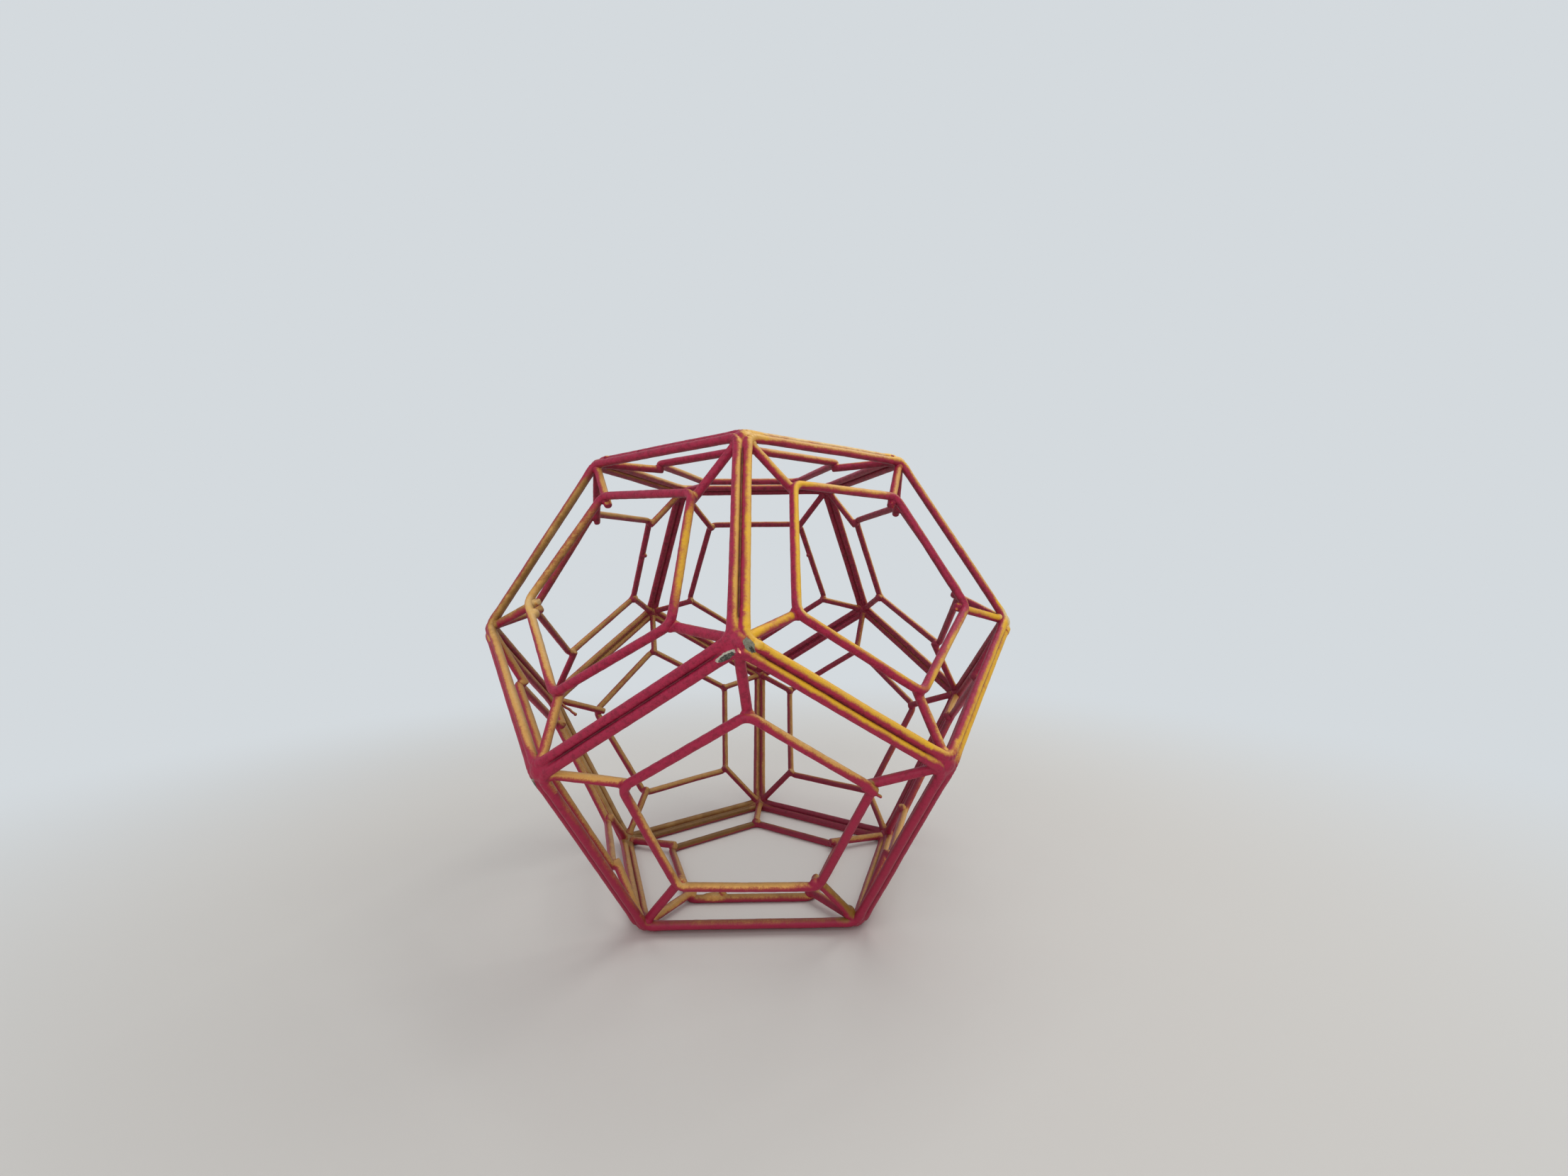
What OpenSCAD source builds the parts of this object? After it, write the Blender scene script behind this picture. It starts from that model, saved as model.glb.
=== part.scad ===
// Wire cage in the shape of a regular dodecahedron, standing on one of its faces.
// Twelve flat wire panels are set edge to edge and welded together at the corners.
// Each panel is a five-sided rim, a smaller five-sided inner loop and five spokes.
// The origin is under the middle of the cage, on the surface that it stands on.

/* [Cage] */
// Length of one edge of the dodecahedron, where the planes of two panels meet
edge_len = 75; // [65:1:90]
// Diameter of the painted wire
wire_d = 3; // [2.4:0.1:3.4]
// Clear gap between the two rims that run side by side along an edge
pair_gap = 0.3; // [0.1:0.05:0.5]

/* [Panel rims] */
// Radius of the wire's centre line in the corners of a rim
rim_bend_r = 4; // [3:0.25:5.5]

/* [Inner loops] */
// Distance from the middle of an average inner loop to its sharp corners
loop_corner_r = 39.5; // [32:0.5:43]
// Radius of the wire's centre line in the corners of an inner loop
loop_bend_r = 4; // [3:0.25:6]

/* [Spokes] */
// Depth of a spoke's centre line under the rim, towards the inside of the cage
spoke_rim_drop = 1.2; // [0.9:0.1:1.6]
// Depth of a spoke's centre line under the inner loop
spoke_loop_drop = 2; // [1.6:0.1:2.4]
// Overrun of a spoke past the inner loop's wire, up to the start of its round end
spoke_overrun = 0.5; // [0:0.1:1.5]
// Overrun of the spokes that were cut too long
long_overrun = 2.6; // [1.5:0.1:4]
// Clearance around a wire that is let into another piece
let_in_gap = 0.05; // [0.02:0.01:0.1]

/* [Bends] */
// Swelling of the wire's radius in a bend
bend_swell = 0.03; // [0.02:0.01:0.06]
// Length of straight wire that runs on into a bend
bend_lap = 0.3; // [0.2:0.05:0.35]

/* [Welds] */
// Height of a corner weld over the centre lines of the rims that it joins
weld_build = 0.15; // [0:0.05:0.3]

/* [Weld whisker] */
// Diameter of the stray piece of filler wire left at one corner
whisker_d = 1; // [0.8:0.1:1.2]
// Length of that piece of filler wire
whisker_len = 10.5; // [5:0.5:14]
// Diameter of the melted ball on its end
whisker_ball_d = 1.6; // [1.4:0.1:2.2]

/* [Hidden] */
$fn = 48;
golden_share = (1 + sqrt(5)) / 2;
corners = 5;
corner_turn = 360 / corners;
half_turn = corner_turn / 2;
over_turn = 180;
half_corner = over_turn / 2 - half_turn;
panel_tilt = atan(2);
edge_angle = over_turn - panel_tilt;

// Panel planes: distances from the middle of a panel to its edges and to its corners
face_in_r = edge_len / (2 * tan(half_turn));
face_corner_r = edge_len / (2 * sin(half_turn));
panel_dist = face_in_r * golden_share;
cage_mid_z = panel_dist + wire_d / 2 + bend_swell;
corner_lean = atan(face_corner_r / panel_dist);

// Rims stand back from the edge, so that two of them lie side by side
rim_inset = (wire_d + pair_gap) / (2 * sin(edge_angle / 2));
rim_corner_r = (face_in_r - rim_inset) / cos(half_turn);
bend_cut_share = 1 / cos(half_turn) - 1;
rim_bend_mid_r = rim_corner_r - rim_bend_r * bend_cut_share;

// Corner welds: a ball on the line from the cage's corner to its middle, where three panels meet
rims_at_corner = 3;
weld_turn = 360 / rims_at_corner;
weld_out = face_corner_r - rim_bend_mid_r;
weld_depth = weld_out * sin(corner_lean);
weld_r = weld_out * cos(corner_lean) + weld_build;
weld_stub = 2 * weld_r;

// Sides of the cage, by the direction that they face. The front looks along -Y.
odd_sides = ["front_left", "front_right", "right", "back", "left"];
even_sides = ["front", "right", "back_right", "back_left", "left"];
even_start = -over_turn / 2;
odd_start = even_start - half_turn;

// One row for each panel: name, tilt from level, direction that it faces, turn of its first corner.
// The top comes first, then the upper ring, the lower ring and the bottom.
first_upper = 1;
first_lower = 6;
bottom_panel = 11;
upward_corner = 2;
PANELS = concat(
    [["top", 0, even_start, 0]],
    [for (k = [0:corners - 1])
        [str("upper_", odd_sides[k]), panel_tilt, odd_start + corner_turn * k, 0]],
    [for (k = [0:corners - 1])
        [str("lower_", even_sides[k]), edge_angle, even_start + corner_turn * k, half_turn]],
    [["bottom", over_turn, odd_start + over_turn, 0]]
);

// How each inner loop was set in its panel, by eye: down and sideways as shares of the edge,
// its turn in degrees, and its size as a share of the average loop
LOOP_SET_SHARES = [
    [0, -0.01, 1, 0.97],
    [0.005, -0.025, -5, 1.01],
    [0.005, 0, -0.5, 1.03],
    [-0.02, 0, -2.5, 0.96],
    [0.005, 0.005, 0, 1.01],
    [0, 0.02, -2, 0.98],
    [-0.01, 0.01, -1.5, 0.99],
    [0, 0, 1, 1],
    [0.01, -0.015, 0.5, 1.01],
    [-0.01, 0.03, -2.5, 1],
    [0.005, 0.015, 1, 1.02],
    [0.01, 0.005, 0, 0.99]
];

// Corners of each panel whose spoke was cut too long
LONG_SPOKES = [[], [3, 4], [1, 2], [3], [], [2], [0], [], [], [1], [], [0, 3]];

// One row for each corner weld: name, the panel that carries it, its corner there
WELDS = concat(
    [for (k = [0:corners - 1]) [str("top_", even_sides[k]), 0, k]],
    [for (k = [0:corners - 1]) [str("upper_", even_sides[k]), first_lower + k, upward_corner]],
    [for (k = [0:corners - 1]) [str("lower_", odd_sides[k]), first_upper + k, 0]],
    [for (k = [0:corners - 1]) [str("bottom_", odd_sides[k]), bottom_panel, (corners - k) % corners]]
);

// The whisker leaves the weld on the cage's lower left corner, inwards and down
whisker_weld = search(["lower_left"], WELDS)[0];
whisker_lean = 139;
whisker_turn = -1;

magenta = [0.62, 0.18, 0.32];
gold = [0.80, 0.60, 0.20];

// Gold lies on what faces up and to the right, magenta on the rest
function gold_share(tilt, facing) =
    max(0, min(1, (1 + cos(tilt) + 2 * sin(tilt) * cos(facing)) / 4));
function paint(tilt, facing) =
    magenta + (gold - magenta) * gold_share(tilt, facing);

function corner_angle(i, k) = PANELS[i][3] + corner_turn * k;
function around(r, angle) = [r * cos(angle), r * sin(angle), 0];
function loop_r(i) = loop_corner_r * LOOP_SET_SHARES[i][3];
function loop_mid(i) = edge_len * [LOOP_SET_SHARES[i][0], LOOP_SET_SHARES[i][1], 0];
function loop_turn(i) = LOOP_SET_SHARES[i][2];
function is_long(i, k) = len(search(k, LONG_SPOKES[i])) > 0;

// Middle of the bend in a loop's corner, and the matching point of the rim
function loop_point(i, k) =
    loop_mid(i) + around(loop_r(i) - loop_bend_r * bend_cut_share, corner_angle(i, k) + loop_turn(i));
function rim_point(i, k) = around(rim_bend_mid_r, corner_angle(i, k));

// Sets a piece that is drawn flat, with its middle at the origin, into its panel
module on_panel(i)
    translate([0, 0, cage_mid_z])
        rotate([0, PANELS[i][1], PANELS[i][2]])
            translate([0, 0, panel_dist])
                children();

// Sets a piece on a corner of the cage, with +Z pointing straight out of that corner
module on_corner(i, k)
    on_panel(i)
        rotate(corner_angle(i, k))
            translate([face_corner_r, 0, 0])
                rotate([0, corner_lean, 0])
                    children();

// One bend of a wire, around the origin
module bend(bend_r, r)
    rotate(-half_turn)
        rotate_extrude(angle = corner_turn)
            translate([bend_r, 0])
                circle(r + bend_swell);

// A closed loop of wire with five straight sides and five bends
module wire_pentagon(corner_r, bend_r, r) {
    straight = 2 * (corner_r * sin(half_turn) - bend_r * tan(half_turn));
    for (k = [0:corners - 1]) rotate(corner_turn * k) {
        translate([corner_r - bend_r / cos(half_turn), 0, 0])
            bend(bend_r, r);
        rotate(half_turn)
            translate([corner_r * cos(half_turn), 0, 0])
                rotate([90, 0, 0])
                    cylinder(h = straight + 2 * bend_lap, r = r, center = true);
    }
}

// A straight wire from one point to another, with a round far end
module bar(from, to, r) {
    run = to - from;
    translate(from)
        rotate([0, acos(run.z / norm(run)), atan2(run.y, run.x)]) {
            cylinder(h = norm(run), r = r);
            translate([0, 0, norm(run)])
                sphere(r);
        }
}

module rim_wire(i, r)
    rotate(PANELS[i][3])
        wire_pentagon(rim_corner_r, rim_bend_r, r);

module loop_wire(i, r)
    translate(loop_mid(i))
        rotate(PANELS[i][3] + loop_turn(i))
            wire_pentagon(loop_r(i), loop_bend_r, r);

module rim(i)
    color(paint(PANELS[i][1], PANELS[i][2]))
        on_panel(i)
            rim_wire(i, wire_d / 2);

module inner_loop(i)
    color(paint(PANELS[i][1], PANELS[i][2]))
        on_panel(i)
            loop_wire(i, wire_d / 2);

// A spoke lies behind the rim and the inner loop, let a little into both of them
module spoke(i, k) {
    start = rim_point(i, k) - [0, 0, spoke_rim_drop];
    cross = loop_point(i, k) - [0, 0, spoke_loop_drop];
    overrun = is_long(i, k) ? long_overrun : spoke_overrun;
    way = (cross - start) / norm(cross - start);
    bar(start, cross + way * overrun, wire_d / 2);
}

module spokes(i)
    color(paint(PANELS[i][1], PANELS[i][2]))
        on_panel(i)
            difference() {
                for (k = [0:corners - 1]) spoke(i, k);
                rim_wire(i, wire_d / 2 + let_in_gap);
                loop_wire(i, wire_d / 2 + let_in_gap);
                for (k = [0:corners - 1])
                    rotate(corner_angle(i, k))
                        translate([face_corner_r, 0, 0])
                            rotate([0, corner_lean, 0])
                                weld_ball(weld_r + let_in_gap);
            }

module weld_ball(r)
    translate([0, 0, -weld_depth])
        sphere(r);

// The stretch of a rim that passes through a corner weld, seen from the cage's corner
module rim_corner(r)
    rotate([0, -corner_lean, 0])
        translate([rim_corner_r - face_corner_r, 0, 0]) {
            translate([-rim_bend_r / cos(half_turn), 0, 0])
                bend(rim_bend_r, r);
            for (side = [-1, 1])
                rotate(side * (over_turn - half_corner))
                    translate([rim_bend_r * tan(half_turn) - bend_lap, 0, 0])
                        rotate([0, 90, 0])
                            cylinder(h = weld_stub, r = r);
        }

module weld(w)
    color(magenta)
        on_corner(WELDS[w][1], WELDS[w][2])
            difference() {
                weld_ball(weld_r);
                for (turn = [0:rims_at_corner - 1])
                    rotate(weld_turn * turn)
                        rim_corner(wire_d / 2 + let_in_gap);
            }

module weld_whisker()
    color(gold)
        on_corner(WELDS[whisker_weld][1], WELDS[whisker_weld][2])
            translate([0, 0, -weld_depth])
                rotate([0, whisker_lean, whisker_turn])
                    translate([0, 0, weld_r + let_in_gap]) {
                        cylinder(h = whisker_len, d = whisker_d);
                        translate([0, 0, whisker_len])
                            sphere(d = whisker_ball_d);
                    }

for (i = [0:len(PANELS) - 1]) {
    rim(i);
    inner_loop(i);
    spokes(i);
}
for (w = [0:len(WELDS) - 1])
    weld(w);
weld_whisker();
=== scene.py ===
"""Dresses the welded wire dodecahedron and sets it on a studio floor.

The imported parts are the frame. Each rim, inner loop, spoke set and corner weld is modelled
again here as bent wire with weld metal on it, and gets its coat of magenta and gold paint.
Lengths are in metres where nothing else is said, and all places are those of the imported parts.
"""

import logging
import math
from dataclasses import dataclass, field
from enum import Enum

import bpy
import numpy as np
from mathutils import Matrix, Vector


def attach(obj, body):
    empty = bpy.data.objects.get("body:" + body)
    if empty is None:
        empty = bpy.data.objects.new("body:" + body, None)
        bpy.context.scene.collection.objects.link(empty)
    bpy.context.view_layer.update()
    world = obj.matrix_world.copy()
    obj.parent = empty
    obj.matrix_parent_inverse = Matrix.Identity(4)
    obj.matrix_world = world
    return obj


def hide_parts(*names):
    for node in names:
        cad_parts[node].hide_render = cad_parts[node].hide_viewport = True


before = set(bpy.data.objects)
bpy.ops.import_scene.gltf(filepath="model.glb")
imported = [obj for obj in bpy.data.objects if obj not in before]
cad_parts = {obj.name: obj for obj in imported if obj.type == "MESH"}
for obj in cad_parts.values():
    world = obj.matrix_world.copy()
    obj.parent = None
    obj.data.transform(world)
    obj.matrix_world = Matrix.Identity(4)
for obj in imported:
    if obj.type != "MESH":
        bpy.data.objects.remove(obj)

log = logging.getLogger("wire_cage")

Pair = tuple[float, float]
Triple = tuple[float, float, float]
MM = 0.001
CORNERS = 5
CORNER_TURN = math.tau / CORNERS
HALF_TURN = CORNER_TURN / 2
QUARTER_TURN = math.pi / 2
GOLDEN_RATIO = (1 + math.sqrt(5)) / 2
# Turn from one panel to the next over their shared edge, and half of the angle left inside
PANEL_TILT = math.atan(2)
HALF_EDGE = (math.pi - PANEL_TILT) / 2
PANELS_AT_CORNER = 3
# Numbers of the first upper panel, the first lower panel, and the bottom
UPPER, LOWER, BOTTOM = 1, 6, 11
BALL_SIDES, BALL_RINGS = 20, 12
BEVEL_STEPS = 3
MERGE_REACH = 0.01 * MM
BODY = "root"


class Make(Enum):
    """The kinds of piece in the cage: material slot, node's name and piece's name."""

    RIM = ("painted_rim", "rim_{}", "{}_rim")
    LOOP = ("painted_loop", "inner_loop_{}", "{}_loop")
    SPOKES = ("painted_spoke", "spokes_{}", "{}_spoke_set")
    WELD = ("painted_weld", "weld_{}", "{}_corner_bead")
    FILLER = ("filler_wire", "weld_{}", "stray_{}")

    @property
    def slot(self) -> str:
        """Name of the material slot for this kind of piece."""
        return self.value[0]

    def node(self, place: str) -> str:
        """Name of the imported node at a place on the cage."""
        return self.value[1].format(place)

    def piece(self, place: str) -> str:
        """Name of the new piece at a place on the cage."""
        return self.value[2].format(place)


@dataclass(frozen=True)
class CageSizes:
    """Sizes of the cage, as the part's source has them."""

    edge: float = 75 * MM
    wire_r: float = 1.5 * MM
    pair_gap: float = 0.3 * MM
    rim_bend: float = 4 * MM
    loop_corner: float = 39.5 * MM
    loop_bend: float = 4 * MM
    spoke_rim_drop: float = 1.2 * MM
    spoke_loop_drop: float = 2 * MM
    spoke_overrun: float = 1.3 * MM
    bend_swell: float = 0.03 * MM
    groove_length: float = 65 * MM

    @property
    def face_in(self) -> float:
        """Distance from a panel's middle to the middle of an edge."""
        return self.edge / (2 * math.tan(HALF_TURN))

    @property
    def face_corner(self) -> float:
        """Distance from a panel's middle to a corner of the cage."""
        return self.edge / (2 * math.sin(HALF_TURN))

    @property
    def panel_dist(self) -> float:
        """Distance from the cage's middle to a panel's plane."""
        return self.face_in * GOLDEN_RATIO

    @property
    def middle_height(self) -> float:
        """Height of the cage's middle over the floor."""
        return self.panel_dist + self.wire_r + self.bend_swell

    @property
    def corner_lean(self) -> float:
        """Angle between a panel's normal and the way out of its corner."""
        return math.atan(self.face_corner / self.panel_dist)

    @property
    def edge_dip(self) -> float:
        """Angle of an edge under the plane that is square to the way out of its corner."""
        return math.asin(self.edge / (2 * math.hypot(self.face_corner, self.panel_dist)))

    @property
    def rim_inset(self) -> float:
        """Distance from an edge of the cage to the centre line of a rim beside it."""
        return (2 * self.wire_r + self.pair_gap) / (2 * math.sin(HALF_EDGE))

    @property
    def rim_corner(self) -> float:
        """Distance from a panel's middle to the sharp corner of its rim's centre line."""
        return (self.face_in - self.rim_inset) / math.cos(HALF_TURN)

    @property
    def groove_place(self) -> Pair:
        """Where two rims meet: distance from the panel's middle, and depth under its plane."""
        down = self.rim_inset * math.cos(HALF_EDGE)
        return self.face_in - down * math.cos(HALF_EDGE), down * math.sin(HALF_EDGE)

    @staticmethod
    def bend_cut(bend: float) -> float:
        """How far a bend of this radius stands back from its sharp corner."""
        return bend * (1 / math.cos(HALF_TURN) - 1)

    @property
    def rim_bend_mid(self) -> float:
        """Distance from a panel's middle to the middle of a bend of its rim."""
        return self.rim_corner - self.bend_cut(self.rim_bend)

    @property
    def weld_depth(self) -> float:
        """Depth of a corner weld's middle under the corner of the cage."""
        return (self.face_corner - self.rim_bend_mid) * math.sin(self.corner_lean)


CAGE = CageSizes()


@dataclass(frozen=True)
class Panel:
    """One flat wire panel: where it stands and how its inner loop was set."""

    name: str
    tilt: float
    facing: float
    first: float
    loop_shift: Pair
    loop_turn: float
    loop_size: float
    long_spokes: tuple[tuple[int, float], ...] = ()

    def place(self) -> Matrix:
        """Place of the panel, which is drawn flat round the origin."""
        return (Matrix.Translation((0, 0, CAGE.middle_height))
                @ Matrix.Rotation(self.facing, 4, "Z") @ Matrix.Rotation(self.tilt, 4, "Y")
                @ Matrix.Translation((0, 0, CAGE.panel_dist)))

    def corner_angle(self, corner: int) -> float:
        """Direction of a corner in the flat panel."""
        return self.first + CORNER_TURN * corner

    def rim_point(self, corner: int) -> Vector:
        """Middle of a bend of the rim, in the flat panel."""
        return Matrix.Rotation(self.corner_angle(corner), 3, "Z") @ Vector((CAGE.rim_bend_mid, 0, 0))

    def loop_place(self) -> Matrix:
        """Place of the inner loop in the flat panel."""
        shift = Vector((*self.loop_shift, 0)) * CAGE.edge
        return Matrix.Translation(shift) @ Matrix.Rotation(self.first + self.loop_turn, 4, "Z")

    def loop_point(self, corner: int) -> Vector:
        """Finds the middle of a bend of the inner loop.

        Args:
            corner: Number of the bend.

        Returns:
            Its place in the flat panel.
        """
        reach = CAGE.loop_corner * self.loop_size - CAGE.bend_cut(CAGE.loop_bend)
        spot = Matrix.Rotation(CORNER_TURN * corner, 3, "Z") @ Vector((reach, 0, 0))
        return self.loop_place() @ spot

    def groove(self, side: int) -> Matrix:
        """Place of the middle of the groove past a side of the rim, with +Y along the groove."""
        reach, depth = CAGE.groove_place
        return (self.place() @ Matrix.Rotation(self.corner_angle(side) + HALF_TURN, 4, "Z")
                @ Matrix.Translation((reach, 0, -depth)))

    def corner_place(self, corner: int) -> Matrix:
        """Place on a corner of the cage, with +Z straight out of that corner."""
        return (self.place() @ Matrix.Rotation(self.corner_angle(corner), 4, "Z")
                @ Matrix.Translation((CAGE.face_corner, 0, 0))
                @ Matrix.Rotation(CAGE.corner_lean, 4, "Y"))


ODD_SIDES = ("front_left", "front_right", "right", "back", "left")
EVEN_SIDES = ("front", "right", "back_right", "back_left", "left")
# How each inner loop was set: shift down and across in edges, turn in degrees, and size
LOOP_SET = (
    (0, -0.01, 1, 0.97), (0.005, -0.025, -5, 1.01), (0.005, 0, -0.5, 1.03),
    (-0.02, 0, -2.5, 0.96), (0.005, 0.005, 0, 1.01), (0, 0.02, -2, 0.98),
    (-0.01, 0.01, -1.5, 0.99), (0, 0, 1, 1), (0.01, -0.015, 0.5, 1.01),
    (-0.01, 0.03, -2.5, 1), (0.005, 0.015, 1, 1.02), (0.01, 0.005, 0, 0.99),
)
# Spokes that were cut too long: corner, and millimetres past the middle of the crossing
LONG_SPOKES = (
    (), ((3, 3.2), (4, 2.6)), ((1, 2.8), (2, 3.0)), ((3, 3.0),), (), ((2, 3.0),),
    ((0, 1.5),), (), (), ((1, 3.0),), (), ((0, 3.0), (3, 3.0)),
)
# Corners of the cage round each panel: top ring T, upper ring U, lower ring M, bottom ring B
CORNER_NAMES = (
    "T0 T1 T2 T3 T4", "M0 U0 T0 T4 U4", "M1 U1 T1 T0 U0", "M2 U2 T2 T1 U1",
    "M3 U3 T3 T2 U2", "M4 U4 T4 T3 U3", "B1 M1 U0 M0 B0", "B2 M2 U1 M1 B1",
    "B3 M3 U2 M2 B2", "B4 M4 U3 M3 B3", "B0 M0 U4 M4 B4", "B0 B4 B3 B2 B1",
)


def all_panels() -> list[Panel]:
    """Sets up the twelve panels.

    Returns:
        The top, the upper ring, the lower ring and the bottom.
    """
    even_start = -QUARTER_TURN
    odd_start = even_start - HALF_TURN
    stands = [("top", 0.0, even_start, 0.0)]
    stands += [(f"upper_{side}", PANEL_TILT, odd_start + CORNER_TURN * k, 0.0)
               for k, side in enumerate(ODD_SIDES)]
    stands += [(f"lower_{side}", math.pi - PANEL_TILT, even_start + CORNER_TURN * k, HALF_TURN)
               for k, side in enumerate(EVEN_SIDES)]
    stands += [("bottom", math.pi, odd_start + math.pi, 0.0)]
    return [Panel(*stand, loop_shift=(down, across), loop_turn=math.radians(turn), loop_size=size,
                  long_spokes=far)
            for stand, (down, across, turn, size), far in zip(stands, LOOP_SET, LONG_SPOKES)]


def own_sides(number: int) -> list[int]:
    """Finds the sides of a panel that no earlier panel shares.

    Args:
        number: Number of the panel.

    Returns:
        Those sides, each named by its first corner.
    """
    def edges(names: str) -> list[frozenset[str]]:
        """The two corners of each side."""
        corners = names.split()
        return [frozenset((corner, corners[(k + 1) % CORNERS])) for k, corner in enumerate(corners)]
    taken = [edge for names in CORNER_NAMES[:number] for edge in edges(names)]
    return [k for k, edge in enumerate(edges(CORNER_NAMES[number])) if edge not in taken]


PANELS = all_panels()


@dataclass(frozen=True)
class Touch:
    """A pass of the spray can along one wire that differed from the rest.

    The wire is a side between two corners, or the spoke at one corner. Gold is how much more of
    it lies there, tone how yellow (1) or brown (-1) it is, and lean turns the gold to a side.
    """

    panel: str
    make: Make
    ends: str
    gold: float
    tone: float = 0.0
    lean: Triple = (0.0, 0.0, 0.0)
    reach: float = 7 * MM

    def segment(self) -> tuple[Vector, Vector]:
        """Finds the wire.

        Returns:
            The two ends of the wire's centre line.
        """
        number = [panel.name for panel in PANELS].index(self.panel)
        panel = PANELS[number]
        place = panel.place()
        corners = [CORNER_NAMES[number].split().index(end) for end in self.ends.split()]
        rims = [place @ panel.rim_point(corner) for corner in corners]
        loops = [place @ panel.loop_point(corner) for corner in corners]
        if self.make is Make.SPOKES:
            return rims[0], loops[0]
        return tuple(loops if self.make is Make.LOOP else rims)


@dataclass(frozen=True)
class Spot:
    """A small place that was sprayed differently, whose middle and reach are in millimetres."""

    middle: Triple
    reach: float
    gold: float
    tone: float = 0.0
    lean: Triple = (0.0, 0.0, 0.0)


@dataclass(frozen=True)
class Spray:
    """How the gold was sprayed over the magenta: mostly from one side, with many touches."""

    touches: tuple[Touch, ...]
    spots: tuple[Spot, ...]
    side: Triple = (0.66, -0.22, 0.68)
    cover: float = -0.5
    # Painted shade: faces turning inwards or sideways, and the grooves between paired wires, are
    # darkened in the paint's colour
    inside_start: float = 0.3
    inside_shade: float = 0.62
    groove_shade: float = 0.92
    groove_reach: float = 0.85 * MM

    def coats(self, make: Make, place: str, points: np.ndarray,
              normals: np.ndarray) -> dict[str, np.ndarray]:
        """Works out the paint on one piece.

        Args:
            make: Kind of piece.
            place: Its place on the cage.
            points: Places of its points, one row each.
            normals: Their outward normals.

        Returns:
            The amount of gold, 0 at the border of the two colours, its tone, and the painted shade.
        """
        gold = normals @ np.array(Vector(self.side).normalized()) + self.cover
        tone = np.zeros(len(points))
        near = [touch for touch in self.touches
                if make is Make.WELD or (touch.make, touch.panel) == (make, place)]
        shares = [np.exp(-(self._far(points, *touch.segment()) / touch.reach) ** 2) for touch in near]
        whole = np.maximum(1, sum(shares)) if make is Make.WELD else 1
        for touch, share in zip(near, shares):
            gold += share / whole * (touch.gold + normals @ np.array(touch.lean))
            tone += share / whole * touch.tone
        for spot in self.spots:
            away = np.linalg.norm(points - np.array(spot.middle) * MM, axis=1)
            share = np.exp(-(away / (spot.reach * MM)) ** 2)
            gold += share * (spot.gold + normals @ np.array(spot.lean))
            tone += share * spot.tone
        return {"gold_side": gold, "gold_tone": tone, "paint_shade": self._shade(make, points, normals)}

    @staticmethod
    def _far(points: np.ndarray, first: Vector, last: Vector) -> np.ndarray:
        """Measures how far points lie from a straight line between two places.

        Args:
            points: Places of the points, one row each.
            first: Start of the line.
            last: End of the line.

        Returns:
            One distance for each point.
        """
        start, way = np.array(first), np.array(last - first)
        along = np.clip((points - start) @ way / (way @ way), 0, 1)
        return np.linalg.norm(points - start - along[:, None] * way, axis=1)

    def _shade(self, make: Make, points: np.ndarray, normals: np.ndarray) -> np.ndarray:
        """Works out the painted shade on faces turning inwards or sideways, where the paint is also
        thinner, and in the grooves between paired wires.

        Args:
            make: Kind of piece.
            points: Places of its points, one row each.
            normals: Their outward normals.

        Returns:
            The painted shade of each point, 0 where there is none.
        """
        out = points - np.array((0, 0, CAGE.middle_height))
        out /= np.linalg.norm(out, axis=1)[:, None]
        shade = np.clip(self.inside_start - (normals * out).sum(axis=1), 0, 1) * self.inside_shade
        if make in (Make.RIM, Make.WELD):
            half = Vector((0, CAGE.groove_length / 2, 0))
            grooves = [panel.groove(side) for number, panel in enumerate(PANELS)
                       for side in own_sides(number)]
            near = np.min([self._far(points, groove @ -half, groove @ half)
                           for groove in grooves], axis=0)
            # Painted shade in the grooves, where paired wires shade each other
            shade = np.maximum(shade, np.exp(-(near / self.groove_reach) ** 4) * self.groove_shade)
        return shade


RIM, LOOP, SPOKES = Make.RIM, Make.LOOP, Make.SPOKES
UL, UR, ULB, URB = "upper_front_left", "upper_front_right", "upper_left", "upper_right"
LF, LR, LL = "lower_front", "lower_right", "lower_left"
LBR, LBL = "lower_back_right", "lower_back_left"
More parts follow.
